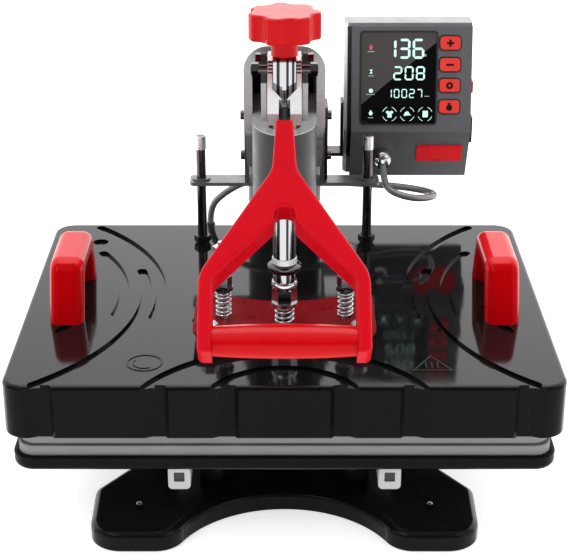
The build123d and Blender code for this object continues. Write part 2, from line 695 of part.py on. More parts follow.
FRAME_T = 12.0            # half thickness of the red frame
GRIP_HALF = 47.5
frame_half = [(6, -47), (8.4, -85), (57, -162.5), (57, -218)]
frame_hole_half = [(5.6, -113.4), (7.4, -125.2), (GRIP_HALF, -166.5), (GRIP_HALF, -230)]
with BuildPart() as handle_frame:
    with BuildSketch(HANDLE_PLANE.offset(-FRAME_T)):
        with BuildLine():
            Polyline(*frame_half, *[(-x, y) for x, y in reversed(frame_half)], close=True)
        make_face()
        with BuildLine(mode=Mode.PRIVATE) as hole_line:
            Polyline(*frame_hole_half, *[(-x, y) for x, y in reversed(frame_hole_half)], close=True)
        make_face(hole_line.edges(), mode=Mode.SUBTRACT)
        fillet(vertices().filter_by(lambda v: -130 < v.Y < -120), radius=8)
        fillet(vertices().filter_by(lambda v: -120 < v.Y < -100), radius=5)
        fillet(vertices().filter_by(lambda v: -170 < v.Y < -165), radius=12)
        fillet(vertices().filter_by(lambda v: -165 < v.Y < -160), radius=26)
        fillet(vertices().filter_by(lambda v: v.Y < -217 and abs(v.X) > 50), radius=4)
        fillet(vertices().filter_by(lambda v: -86 < v.Y < -84), radius=20)
    extrude(amount=2 * FRAME_T)
    rims = handle_frame.edges().filter_by(
        lambda e: abs(abs(HANDLE_PLANE.to_local_coords(e.center()).Z) - FRAME_T) < 0.01)
    fillet(rims, radius=2.6)
    with BuildSketch(Plane(origin=crank_at + down * SHANK_START, z_dir=down)):
        Circle(SHANK_R)
    extrude(amount=SHANK_END - SHANK_START, mode=Mode.SUBTRACT)
save(handle_frame.part, "handle_frame")

GRIP_AT = 206.5
grip_centre = crank_at + down * GRIP_AT
with BuildPart() as handle_grip:
    with BuildSketch(Plane.XZ):
        with BuildLine():
            Polyline((-GRIP_HALF, 0), (-GRIP_HALF, 10))
            ThreePointArc((-GRIP_HALF, 10), (0, 11.6), (GRIP_HALF, 10))
            Polyline((GRIP_HALF, 10), (GRIP_HALF, 0), (-GRIP_HALF, 0))
        make_face()
    revolve(axis=Axis.X)
grip_part = Pos(grip_centre) * handle_grip.part
save(grip_part, "handle_grip")

# ---- control box, carried on the right of the arm ---------------------------------------------
CASE_LEFT = 52.0          # the case shows past the left edge of the fascia
BOX_LEFT = 58.0
BOX_RIGHT = 162.0
BOX_WALL = 2.5
FACE_LOW = Vector(0, 162.0, 220.5)      # crease between the two front faces
FACE_TOP = Vector(0, 180.0, 310.0)
FACE_END = Vector(0, 187.85, 171.5)
upper_up = (FACE_TOP - FACE_LOW).normalized()
lower_up = (FACE_LOW - FACE_END).normalized()
UPPER_FACE = Plane(origin=FACE_LOW, x_dir=(1, 0, 0), z_dir=Vector(1, 0, 0).cross(upper_up))
LOWER_FACE = Plane(origin=FACE_LOW, x_dir=(1, 0, 0), z_dir=Vector(1, 0, 0).cross(lower_up))
case_side = [(184.4, 312), (206, 312), (214, 180.5), (191.4, 173.4), (166.3, 221)]
case_hollow = [(181, 309), (203.4, 309.5), (211.2, 182.9), (192.6, 176.8), (160, 221)]
fascia_side = [(180, 310), (184, 310), (166.3, 221), (191.4, 173.4), (187.85, 171.5), (162, 220.5)]
SCREEN_W = 65.0
SCREEN_H = 79.0
SCREEN_AT = (98.7, 46.8)
SCREEN_T = 1.2
KEY_W = 17.5
KEY_H = 11.2
KEY_X = 142.8
KEY_UP = (77.0, 58.5, 40.6, 22.2)
KEY_CORNER = 3.0
KEY_PROUD = 2.0
KEY_GAP = 0.35
KEY_BACK = -4.6           # rear face of the fascia behind the keys
SWITCH_AT = (188.0, 256.0)
INLET_AT = (190.0, 218.0)
SWITCH_L = 19.0
SWITCH_H = 10.0
INLET_L = 27.0
INLET_H = 19.0
PLUG_AT = (86.5, -26.8)
PLUG_R = 8.5
PLUG_OUT = 16.0

with BuildPart() as controller_case:
    with BuildSketch(Plane.YZ.offset(CASE_LEFT)):
        with BuildLine():
            Polyline(*case_side, close=True)
        make_face()
    extrude(amount=BOX_RIGHT - CASE_LEFT)
    left_front = controller_case.faces().sort_by(Axis.X)[0].edges().sort_by(Axis.Y)[:2]
    chamfer(left_front, length=3)
    with BuildSketch(Plane.YZ.offset(CASE_LEFT + BOX_WALL)):
        with BuildLine():
            Polyline(*case_hollow, close=True)
        make_face()
    extrude(amount=BOX_RIGHT - CASE_LEFT - 2 * BOX_WALL, mode=Mode.SUBTRACT)
    with BuildSketch(Plane.YZ.offset(BOX_RIGHT - BOX_WALL - 1)):
        with Locations(SWITCH_AT):
            Rectangle(SWITCH_L + 1.2, SWITCH_H + 0.8)
        with Locations(INLET_AT):
            Rectangle(INLET_L, INLET_H)
    extrude(amount=BOX_WALL + 2, mode=Mode.SUBTRACT)
save(controller_case.part, "controller_case")

with BuildPart() as controller_fascia:
    with BuildSketch(Plane.YZ.offset(BOX_LEFT)):
        with BuildLine():
            Polyline(*fascia_side, close=True)
        make_face()
    extrude(amount=BOX_RIGHT - BOX_LEFT)
    with BuildSketch(UPPER_FACE):
        with Locations(SCREEN_AT):
            RectangleRounded(SCREEN_W, SCREEN_H, 2)
    extrude(amount=-SCREEN_T, mode=Mode.SUBTRACT)
    with BuildSketch(UPPER_FACE):
        with Locations(*[(KEY_X, up) for up in KEY_UP]):
            RectangleRounded(KEY_W + 2 * KEY_GAP, KEY_H + 2 * KEY_GAP, KEY_CORNER + KEY_GAP)
    extrude(amount=-12, mode=Mode.SUBTRACT)
save(controller_fascia.part, "controller_fascia")

with BuildPart() as display_glass:
    with BuildSketch(UPPER_FACE):
        with Locations(SCREEN_AT):
            RectangleRounded(SCREEN_W, SCREEN_H, 2)
    extrude(amount=-SCREEN_T)
save(display_glass.part, "display_glass")

for number, up in enumerate(KEY_UP, start=1):
    with BuildPart() as key:
        with BuildSketch(UPPER_FACE.offset(KEY_BACK - 1.2)):
            with Locations((KEY_X, up)):
                RectangleRounded(KEY_W, KEY_H, KEY_CORNER)
        extrude(amount=KEY_PROUD - KEY_BACK + 1.2)
        rim = key.faces().sort_by(Axis(FACE_LOW, UPPER_FACE.z_dir))[-1].edges()
        fillet(rim, radius=0.7)
    save(key.part, f"button_{number}")

with BuildPart() as badge_plate:
    with BuildSketch(LOWER_FACE):
        with Locations((136.5, -26)):
            RectangleRounded(40, 19, 0.8)
    extrude(amount=1)
save(badge_plate.part, "badge_plate")

with BuildPart() as cable_connector:
    with BuildSketch(LOWER_FACE):
        with Locations(PLUG_AT):
            Circle(PLUG_R)
    extrude(amount=6)
    with BuildSketch(LOWER_FACE.offset(6)):
        with Locations(PLUG_AT):
            Circle(PLUG_R - 1.5)
    extrude(amount=PLUG_OUT - 10)
    with BuildSketch(LOWER_FACE.offset(PLUG_OUT - 4)):
        with Locations(PLUG_AT):
            Circle(PLUG_R - 3.5)
    extrude(amount=4)
save(cable_connector.part, "cable_connector")

SWITCH_X = BOX_RIGHT - 1.5
TILT_X = BOX_RIGHT - 3.0  # the rocker tilts about a vertical barrel here
BARREL_R = 4.0
with BuildPart() as rocker_switch:
    with BuildSketch(Plane((TILT_X, SWITCH_AT[0], SWITCH_AT[1] - SWITCH_H / 2))):
        Circle(BARREL_R)
    extrude(amount=SWITCH_H)
    with BuildSketch(Plane.YZ.offset(SWITCH_X)):
        with Locations(SWITCH_AT):
            Rectangle(SWITCH_L - 1.2, SWITCH_H)
    extrude(amount=4.2)
    fillet(rocker_switch.faces().sort_by(Axis.X)[-1].edges(), radius=0.8)
save(rocker_switch.part, "rocker_switch")

INLET_DEPTH = 22.0
PIN_STEP = 7.0
with BuildPart() as power_inlet:
    with BuildSketch(Plane.YZ.offset(BOX_RIGHT - INLET_DEPTH)):
        with Locations(INLET_AT):
            Rectangle(INLET_L, INLET_H)
    extrude(amount=INLET_DEPTH)
    with BuildSketch(Plane.YZ.offset(BOX_RIGHT)):
        with Locations(INLET_AT):
            RectangleRounded(INLET_L + 4, INLET_H + 4, 2)
    extrude(amount=3)
    with BuildSketch(Plane.YZ.offset(BOX_RIGHT - 15)):
        with Locations(INLET_AT):
            RectangleRounded(INLET_L - 4, INLET_H - 4, 2)
    extrude(amount=20, mode=Mode.SUBTRACT)
    with BuildSketch(Plane.YZ.offset(BOX_RIGHT - 15)):
        with Locations((INLET_AT[0], INLET_AT[1]), (INLET_AT[0] - PIN_STEP, INLET_AT[1] - 2),
                       (INLET_AT[0] + PIN_STEP, INLET_AT[1] - 2)):
            Rectangle(2, 4)
    extrude(amount=11)
save(power_inlet.part, "power_inlet")

SIDE_T = 2.6
bracket_side = [(103, 198), (126, 198), (126, 194), (188, 194), (188, 230), (126, 262), (100, 262)]
with BuildPart() as controller_bracket:
    with BuildSketch(Plane.YZ.offset(FLANGE_OUT)):
        with BuildLine():
            Polyline(*bracket_side, close=True)
        make_face()
    extrude(amount=SIDE_T)
    with BuildSketch(Plane.XY.offset(194)):
        with Locations(((FLANGE_OUT + CASE_LEFT) / 2, 185)):
            Rectangle(CASE_LEFT - FLANGE_OUT, 20)
    extrude(amount=3)
    with BuildSketch(Plane.YZ.offset(CASE_LEFT - SIDE_T)):
        with BuildLine():
            Polyline((185, 194), (208, 194), (203, 240), (185, 240), close=True)
        make_face()
    extrude(amount=SIDE_T)
save(controller_bracket.part, "controller_bracket")

BRACKET_SCREWS = [(ROD_Y, 217.0), (ROD_Y, 252.0)]
with BuildPart() as bracket_screws:
    with BuildSketch(Plane.YZ.offset(FLANGE_OUT + SIDE_T)):
        with Locations(*BRACKET_SCREWS):
            Circle(4)
    extrude(amount=3.4)
    with BuildSketch(Plane.YZ.offset(-FLANGE_OUT)):
        with Locations(*BRACKET_SCREWS):
            Circle(4)
    extrude(amount=-3.4)
save(bracket_screws.part, "bracket_screws")

# ---- heater cable from the control box to the rear of the cover --------------------------------
GLAND_X = -66.0
GLAND_Y = COVER_BACK + 7
GLAND_TOP = 136.0
with BuildPart() as cable_gland:
    with BuildSketch(Plane((GLAND_X, GLAND_Y, 102))):
        Rectangle(18, 14)
        fillet(vertices().filter_by(lambda v: v.Y > GLAND_Y), radius=6)
    extrude(amount=24)
    with BuildSketch(Plane((GLAND_X, GLAND_Y, 126))):
        Circle(6)
    with BuildSketch(Plane((GLAND_X, GLAND_Y, GLAND_TOP))):
        Circle(4)
    loft()
save(cable_gland.part, "cable_gland")

plug_end = LOWER_FACE.from_local_coords((PLUG_AT[0], PLUG_AT[1], PLUG_OUT))
cable_route = [
    plug_end,
    plug_end + LOWER_FACE.z_dir * 12,
    Vector(89, 127, 179),
    Vector(111.5, 117, 175),
    Vector(133, 133, 172),
    Vector(126, 161.5, 166.5),
    Vector(95, 165.5, 170),
    Vector(52, 158, 175),
    Vector(8, 153, 181.5),
    Vector(-32, 153, 180),
    Vector(-56, 158, 164),
    Vector(GLAND_X, GLAND_Y, 150),
    Vector(GLAND_X, GLAND_Y, GLAND_TOP),
]
cable_radii = []
for before, here, after in zip(cable_route, cable_route[1:], cable_route[2:]):
    turn = math.radians((here - before).get_angle(after - here))
    shorter = min((here - before).length, (after - here).length)
    cable_radii.append(round(0.45 * shorter / math.tan(turn / 2), 1))

with BuildPart() as heater_cable:
    with BuildLine() as cable_line:
        FilletPolyline(*cable_route, radius=cable_radii)
    with BuildSketch(Plane(origin=plug_end, z_dir=LOWER_FACE.z_dir)):
        Circle(CABLE_R)
    sweep(path=cable_line.line)
save(heater_cable.part, "heater_cable")
cable_length = sum(edge.length for edge in cable_line.edges())
print("heater cable arc radii", cable_radii)
print("heater cable length", round(cable_length, 1), "volume", round(heater_cable.part.volume, 1),
      "section x length", round(math.pi * CABLE_R**2 * cable_length, 1))
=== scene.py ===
import math

import bmesh
import bpy
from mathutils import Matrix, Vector


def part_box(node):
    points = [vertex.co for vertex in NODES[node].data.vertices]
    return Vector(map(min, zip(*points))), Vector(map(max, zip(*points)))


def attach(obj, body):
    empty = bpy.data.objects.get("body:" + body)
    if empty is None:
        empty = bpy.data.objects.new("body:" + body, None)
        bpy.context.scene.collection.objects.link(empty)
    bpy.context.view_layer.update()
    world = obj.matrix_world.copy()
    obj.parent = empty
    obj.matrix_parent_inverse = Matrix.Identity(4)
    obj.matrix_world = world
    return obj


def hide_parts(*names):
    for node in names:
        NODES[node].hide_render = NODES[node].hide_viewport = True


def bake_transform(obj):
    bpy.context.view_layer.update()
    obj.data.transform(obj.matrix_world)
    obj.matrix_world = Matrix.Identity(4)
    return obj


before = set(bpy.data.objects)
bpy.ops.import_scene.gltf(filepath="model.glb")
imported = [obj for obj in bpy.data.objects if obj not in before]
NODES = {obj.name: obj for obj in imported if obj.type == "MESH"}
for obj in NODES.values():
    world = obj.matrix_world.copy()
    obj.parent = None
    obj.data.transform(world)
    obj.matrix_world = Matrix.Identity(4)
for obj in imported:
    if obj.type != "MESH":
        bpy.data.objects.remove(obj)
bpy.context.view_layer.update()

MM = 0.001
RIGHT, LEFT = (1, 0, 0), (-1, 0, 0)
FRONT, BACK = (0, -1, 0), (0, 1, 0)
UP, DOWN = (0, 0, 1), (0, 0, -1)
SIDES = (("left", -1), ("right", 1))
scene = bpy.context.scene


# ---- camera ---------------------------------------------------------------------------------
CAMERA_PLACE = (0.0, -1.1193, 0.640)
CAMERA_PITCH = 23.5
LENS, SENSOR = 97.43, 36.0

camera_data = bpy.data.cameras.new("view_camera")
camera_data.sensor_width = SENSOR
camera_data.lens = LENS
camera_data.clip_start = 0.05
camera_data.clip_end = 40.0
camera = bpy.data.objects.new("view_camera", camera_data)
camera.location = CAMERA_PLACE
camera.rotation_euler = (math.radians(90 - CAMERA_PITCH), 0, 0)
scene.collection.objects.link(camera)
scene.camera = camera
scene.view_settings.view_transform = "Standard"
scene.view_settings.look = "None"


# ---- materials ------------------------------------------------------------------------------
def grain(nodes, links, vector, scale, detail, low, high):
    """A noise reading mapped to the range low..high."""
    noise = nodes.new("ShaderNodeTexNoise")
    noise.inputs["Scale"].default_value = scale
    noise.inputs["Detail"].default_value = detail
    links.new(vector, noise.inputs["Vector"])
    span = nodes.new("ShaderNodeMapRange")
    span.inputs["From Min"].default_value = 0.3
    span.inputs["From Max"].default_value = 0.7
    span.inputs["To Min"].default_value = low
    span.inputs["To Max"].default_value = high
    links.new(noise.outputs["Fac"], span.inputs["Value"])
    return span.outputs["Result"]


def finish(name, color, rough, metallic=0.0, spread=0.06, shade=0.08, bump=0.05,
           bump_scale=900.0, mottle=35.0, stretch=(1, 1, 1), specular=0.5, flecks=0.0):
    """A procedural surface: colour and gloss that vary softly, and a fine bump for its texture."""
    material = bpy.data.materials.new(name)
    material.use_nodes = True
    nodes, links = material.node_tree.nodes, material.node_tree.links
    shader = nodes["Principled BSDF"]
    shader.inputs["Metallic"].default_value = metallic
    shader.inputs["Specular IOR Level"].default_value = specular
    place = nodes.new("ShaderNodeTexCoord")
    mapping = nodes.new("ShaderNodeMapping")
    mapping.inputs["Scale"].default_value = stretch
    links.new(place.outputs["Object"], mapping.inputs["Vector"])
    vector = mapping.outputs["Vector"]
    # colour
    mix = nodes.new("ShaderNodeMix")
    mix.data_type = "RGBA"
    dark = [c * (1 - shade) for c in color]
    light = [min(1.0, c * (1 + shade) + flecks) for c in color]
    mix.inputs["A"].default_value = (*dark, 1)
    mix.inputs["B"].default_value = (*light, 1)
    links.new(grain(nodes, links, vector, mottle, 4, 0, 1), mix.inputs["Factor"])
    links.new(mix.outputs["Result"], shader.inputs["Base Color"])
    # gloss
    low, high = max(0.02, rough - spread), min(1.0, rough + spread)
    links.new(grain(nodes, links, vector, mottle * 2.3, 5, low, high), shader.inputs["Roughness"])
    # texture
    if bump:
        relief = nodes.new("ShaderNodeBump")
        relief.inputs["Strength"].default_value = bump
        relief.inputs["Distance"].default_value = 0.0004
        links.new(grain(nodes, links, vector, bump_scale, 3, 0, 1), relief.inputs["Height"])
        links.new(relief.outputs["Normal"], shader.inputs["Normal"])
    return material


def lamp_ink(name, color, strength):
    """Lit ink of a display, a little uneven."""
    material = bpy.data.materials.new(name)
    material.use_nodes = True
    nodes, links = material.node_tree.nodes, material.node_tree.links
    shader = nodes["Principled BSDF"]
    shader.inputs["Base Color"].default_value = (*[c * 0.5 for c in color], 1)
    shader.inputs["Roughness"].default_value = 0.4
    shader.inputs["Emission Color"].default_value = (*color, 1)
    place = nodes.new("ShaderNodeTexCoord")
    glow = grain(nodes, links, place.outputs["Object"], 900, 2, strength * 0.85, strength)
    links.new(glow, shader.inputs["Emission Strength"])
    return material


def masked(material, tests, color, rough, specular=None):
    """Another colour where each reading along a direction is over its limit."""
    nodes, links = material.node_tree.nodes, material.node_tree.links
    shader = nodes["Principled BSDF"]
    place = nodes.new("ShaderNodeTexCoord")
    mask = None
    for source, direction, limit in tests:
        along = nodes.new("ShaderNodeVectorMath")
        along.operation = "DOT_PRODUCT"
        along.inputs[1].default_value = direction
        links.new(place.outputs[source], along.inputs[0])
        test = nodes.new("ShaderNodeMath")
        test.operation = "GREATER_THAN"
        test.inputs[1].default_value = limit
        links.new(along.outputs["Value"], test.inputs[0])
        if mask:
            both = nodes.new("ShaderNodeMath")
            both.operation = "MULTIPLY"
            links.new(mask, both.inputs[0])
            links.new(test.outputs[0], both.inputs[1])
            mask = both.outputs[0]
        else:
            mask = test.outputs[0]
    old_color = shader.inputs["Base Color"].links[0].from_socket
    old_rough = shader.inputs["Roughness"].links[0].from_socket
    mix = nodes.new("ShaderNodeMix")
    mix.data_type = "RGBA"
    links.new(mask, mix.inputs["Factor"])
    links.new(old_color, mix.inputs["A"])
    mix.inputs["B"].default_value = (*color, 1)
    links.new(mix.outputs["Result"], shader.inputs["Base Color"])
    level = nodes.new("ShaderNodeMix")
    links.new(mask, level.inputs["Factor"])
    links.new(old_rough, level.inputs["A"])
    level.inputs["B"].default_value = rough
    links.new(level.outputs["Result"], shader.inputs["Roughness"])
    if specular is not None:
        shine = nodes.new("ShaderNodeMix")
        links.new(mask, shine.inputs["Factor"])
        shine.inputs["A"].default_value = shader.inputs["Specular IOR Level"].default_value
        shine.inputs["B"].default_value = specular
        links.new(shine.outputs["Result"], shader.inputs["Specular IOR Level"])
    return material


def between(direction, low, high):
    """Tests that hold between two limits along a direction."""
    opposite = tuple(-c for c in direction)
    return [("Object", direction, low), ("Object", opposite, -high)]


# black enamels; the upright front of the feet carries painted shade: a darker colour, rougher and
# with less shine than their top
FOOT_TOP = 0.02
enamel = finish("black_enamel_m", (0.006, 0.006, 0.007), 0.17, spread=0.04, bump=0.04,
                bump_scale=500, specular=0.28)
masked(enamel, [("Normal", FRONT, 0.5), ("Object", DOWN, -FOOT_TOP)], (0.004, 0.004, 0.004), 0.22,
       specular=0.10)
tray_black = finish("tray_black_m", (0.0035, 0.0035, 0.004), 0.15, spread=0.04, bump=0.05,
                    bump_scale=700, specular=0.06)
cover_black = finish("cover_black_m", (0.0055, 0.0055, 0.006), 0.07, spread=0.025, bump=0.008,
                     bump_scale=260, mottle=18, specular=0.24)
# the cover's front faces carry painted shade: a darker colour, rougher and with less shine
masked(cover_black, [("Normal", FRONT, 0.6)], (0.004, 0.004, 0.004), 0.16, specular=0.06)
mark_black = finish("mark_black_m", (0.004, 0.004, 0.004), 0.35, bump=0.05, specular=0.2)
black_steel = finish("black_steel_m", (0.012, 0.012, 0.012), 0.3, metallic=0.4, bump=0.1,
                     bump_scale=1500)
rubber_black = finish("rubber_m", (0.015, 0.015, 0.015), 0.75, bump=0.3, bump_scale=1500)
moulding = finish("moulding_m", (0.012, 0.012, 0.013), 0.4, bump=0.18, bump_scale=2500)

# arm casting, with a painted reflection: a light grey band round the top of its nose
NOSE_SHEEN_LOW, NOSE_SHEEN_HIGH, NOSE_BACK = 0.2975, 0.326, 0.03
dark_casting = finish("dark_casting_m", (0.026, 0.026, 0.028), 0.34, metallic=0.15, spread=0.06,
                      bump=0.10, bump_scale=1300, specular=0.28, flecks=0.006)
masked(dark_casting, between(UP, NOSE_SHEEN_LOW, NOSE_SHEEN_HIGH) + [("Object", FRONT, -NOSE_BACK)],
       (0.50, 0.50, 0.51), 0.26)

# silver paints; the hood carries painted shade on its left inner wall and painted light on its
# right one
silver_paint = finish("silver_paint_m", (0.27, 0.27, 0.28), 0.32, metallic=0.3, spread=0.05,
                      bump=0.06, bump_scale=2200, flecks=0.03)
# the control box's left side is painted lighter, as painted light
masked(silver_paint, [("Normal", LEFT, 0.5)], (0.90, 0.90, 0.91), 0.45)
HOOD_HALF = 0.0238
HOOD_INSIDE = between(RIGHT, -HOOD_HALF, HOOD_HALF)
hood_paint = finish("hood_paint_m", (0.34, 0.34, 0.345), 0.30, metallic=0.25, spread=0.05,
                    bump=0.06, bump_scale=2200, flecks=0.03)
masked(hood_paint, HOOD_INSIDE + [("Normal", RIGHT, 0.5)], (0.006, 0.006, 0.007), 0.45)
masked(hood_paint, HOOD_INSIDE + [("Normal", LEFT, 0.5)], (0.95, 0.95, 0.96), 0.35)

# bare metals
zinc = finish("zinc_m", (0.60, 0.60, 0.62), 0.24, metallic=1.0, spread=0.08, bump=0.06,
              bump_scale=1600)
dull_zinc = finish("dull_zinc_m", (0.16, 0.16, 0.165), 0.30, metallic=0.6, spread=0.06, bump=0.05,
                   bump_scale=1600)
bright_zinc = finish("bright_zinc_m", (0.66, 0.66, 0.67), 0.26, metallic=0.35, spread=0.06,
                     bump=0.05, bump_scale=1600)
# dark bands painted across the fork are painted reflections
FORK_REFLECTION_LOW, FORK_REFLECTION_STEP, FORK_REFLECTION_WIDTH, FORK_HALF = 0.3398, 0.0019, 0.0009, 0.0118
for step in range(4):
    fork_reflection_band = FORK_REFLECTION_LOW + FORK_REFLECTION_STEP * step
    masked(bright_zinc, between(UP, fork_reflection_band, fork_reflection_band + FORK_REFLECTION_WIDTH)
           + between(RIGHT, -FORK_HALF, FORK_HALF), (0.012, 0.012, 0.012), 0.3)
dark_chrome = finish("dark_chrome_m", (0.10, 0.10, 0.105), 0.12, metallic=1.0, spread=0.05,
                     bump=0.03, bump_scale=1600)
chrome = finish("chrome_m", (0.50, 0.50, 0.52), 0.07, metallic=1.0, spread=0.03, bump=0.01,
                bump_scale=900, shade=0.03)
ram_chrome = finish("ram_chrome_m", (0.42, 0.42, 0.44), 0.09, metallic=1.0, spread=0.03, bump=0.01,
                    bump_scale=900, shade=0.03)
# dark streaks painted along the ram are painted reflections
RAM_REFLECTION_STREAKS = ((-0.0056, -0.0034), (0.0012, 0.0030), (0.0052, 0.0070))
for low, high in RAM_REFLECTION_STREAKS:
    masked(ram_chrome, between(RIGHT, low, high), (0.03, 0.03, 0.032), 0.12)
spring_wire = finish("spring_wire_m", (0.55, 0.55, 0.57), 0.16, metallic=1.0, spread=0.06,
                     bump=0.04, bump_scale=2500)
bronze = finish("bronze_m", (0.42, 0.29, 0.13), 0.32, metallic=1.0, spread=0.08, bump=0.08,
                bump_scale=1200)
rail_grey = finish("rail_grey_m", (0.45, 0.45, 0.45), 0.36, metallic=0.2, spread=0.08, bump=0.08,
                   bump_scale=1200)
platen_metal = finish("platen_metal_m", (0.20, 0.20, 0.205), 0.46, metallic=0.3,
                      stretch=(0.08, 1, 1), bump=0.10, bump_scale=1500, shade=0.12)

# soft goods
silicone = finish("silicone_m", (0.22, 0.22, 0.22), 0.62, bump=0.25, bump_scale=1700, shade=0.05)
wool = finish("wool_m", (0.62, 0.6, 0.52), 0.9, bump=0.8, bump_scale=700)
cable_grey = finish("cable_m", (0.26, 0.26, 0.27), 0.24, metallic=0.35, spread=0.06, bump=0.12,
                    bump_scale=1200, shade=0.10)

# reds; upright faces of the mouldings carry painted shade, a darker red with less shine than their
# tops
red_enamel = finish("red_enamel_m", (0.54, 0.001, 0.009), 0.30, spread=0.04, bump=0.04,
                    bump_scale=650, shade=0.04, specular=0.08)
red_plastic = finish("red_plastic_m", (0.54, 0.001, 0.004), 0.20, spread=0.04, bump=0.03,
                     bump_scale=800, shade=0.04, specular=0.24)
masked(red_plastic, [("Normal", DOWN, -0.4)], (0.50, 0.001, 0.003), 0.22, specular=0.10)
handle_red = finish("handle_red_m", (0.62, 0.001, 0.006), 0.20, spread=0.04, bump=0.03,
                    bump_scale=800, shade=0.04, specular=0.24)
# the side handles' front faces carry painted shade
masked(handle_red, [("Normal", FRONT, 0.6)], (0.46, 0.0, 0.002), 0.22, specular=0.06)
# the pressure plate's red is a darker copy of the red enamel, as painted shade
shaded_red_plate = finish("shaded_red_plate_m", (0.22, 0.001, 0.005), 0.32, bump=0.04, bump_scale=650,
                   shade=0.06, specular=0.2)
key_red = finish("key_red_m", (0.80, 0.045, 0.032), 0.34, spread=0.05, bump=0.12, bump_scale=2600,
                 shade=0.05, specular=0.25)
key_ink = finish("key_ink_m", (0.004, 0.002, 0.002), 0.5, bump=0.1, bump_scale=2500, specular=0.2)
badge_red = finish("badge_red_m", (0.92, 0.008, 0.014), 0.30, bump=0.03, bump_scale=800,
                   shade=0.04, specular=0.2)

# control box face and display; the glass carries a painted sheen, lighter above a slanting line
SHEEN_DIRECTION, SHEEN_LIMIT = (-0.640, 0.1514, 0.7529), 0.16638
fascia_grey = finish("fascia_m", (0.100, 0.101, 0.112), 0.36, spread=0.05, bump=0.16,
                     bump_scale=3200, shade=0.05)
glass = finish("glass_m", (0.003, 0.003, 0.003), 0.05, spread=0.02, bump=0.0, mottle=12,
               specular=0.25)
masked(glass, [("Object", SHEEN_DIRECTION, SHEEN_LIMIT)], (0.075, 0.070, 0.068), 0.25)
mint = lamp_ink("display_mint_m", (0.62, 0.95, 0.88), 0.85)
mint_dim = lamp_ink("display_dim_m", (0.50, 0.75, 0.70), 0.45)
ember = lamp_ink("display_red_m", (0.85, 0.10, 0.12), 0.35)

LOOKS = {
    enamel: ["base_plate", "post", "sleeve_cap", "support_pillar_front_left",
             "support_pillar_front_right", "support_pillar_rear", "controller_bracket"],
    tray_black: ["lower_tray"],
    dark_casting: ["arm_casting"],
    silver_paint: ["controller_case"],
    hood_paint: ["arm_shell"],
    rubber_black: ["rubber_feet"],
    zinc: ["flange_bolts", "plate_bolts", "cover_bolts", "spring_studs", "plate_spacers",
           "cross_plate_front", "cross_plate_rear"],
    bright_zinc: ["handle_fork"],
    dull_zinc: ["rod_bracket"],
    rail_grey: ["tray_rail_left", "tray_rail_right"],
    silicone: ["silicone_pad"],
    platen_metal: ["heat_platen"],
    wool: ["insulation"],
    cover_black: ["cover"],
    chrome: ["ram_nut"],
    ram_chrome: ["ram_shaft"],
    bronze: ["ram_bush"],
    red_enamel: ["handle_frame"],
    shaded_red_plate: ["pressure_plate"],
    badge_red: ["badge_plate"],
    red_plastic: ["knob", "handle_grip", "rocker_switch"],
    handle_red: ["side_handle_left", "side_handle_right"],
    key_red: ["button_1", "button_2", "button_3", "button_4"],
    black_steel: ["handle_shank", "rod_nuts"],
    dark_chrome: ["spring_nuts", "pivot_pin", "crank_pin", "bracket_screws", "guide_rod_left",
                  "guide_rod_right"],
    fascia_grey: ["controller_fascia"],
    moulding: ["power_inlet", "cable_gland"],
    glass: ["display_glass"],
}
for look, names in LOOKS.items():
    for node_name in names:
        node_mesh = NODES[node_name].data
        node_mesh.materials.clear()
        node_mesh.materials.append(look)


# ---- mesh helpers ---------------------------------------------------------------------------
def add_object(name, mesh, material, body):
    """Puts a finished mesh in the scene, riding on a body."""
    piece = bpy.data.objects.new(name, mesh)
    scene.collection.objects.link(piece)
    mesh.materials.clear()
    mesh.materials.append(material)
    if body:
        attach(piece, body)
    return piece


def closed_mesh(name, bm, smooth_angle=None):
    """The mesh of a closed build; with an angle, edges sharper than it stay sharp."""
    bmesh.ops.recalc_face_normals(bm, faces=bm.faces)
    mesh = bpy.data.meshes.new(name)
    bm.to_mesh(mesh)
    bm.free()
    if smooth_angle:
        for face in mesh.polygons:
            face.use_smooth = True
        mesh.set_sharp_from_angle(angle=math.radians(smooth_angle))
    return mesh


def placer(plane):
    """Turns (a, b, height) in mm on a plane (origin, u, v) into a point in metres."""
    origin = Vector(plane[0]) * MM
    u, v = Vector(plane[1]).normalized(), Vector(plane[2]).normalized()
    normal = u.cross(v)
    return lambda a, b, height: origin + (u * a + v * b + normal * height) * MM


def plates(name, outlines, plane, thickness, material, body, lift=0.0):
    """Flat plates of the given outlines on a plane, joined in one piece."""
    at = placer(plane)
    bm = bmesh.new()
    for outline in outlines:
        low = [bm.verts.new(at(a, b, lift)) for a, b in outline]
        high = [bm.verts.new(at(a, b, lift + thickness)) for a, b in outline]
        bm.faces.new(list(reversed(low)))
        bm.faces.new(high)
        for i in range(len(outline)):
            j = (i + 1) % len(outline)
            bm.faces.new((low[i], low[j], high[j], high[i]))
    return add_object(name, closed_mesh(name, bm), material, body)


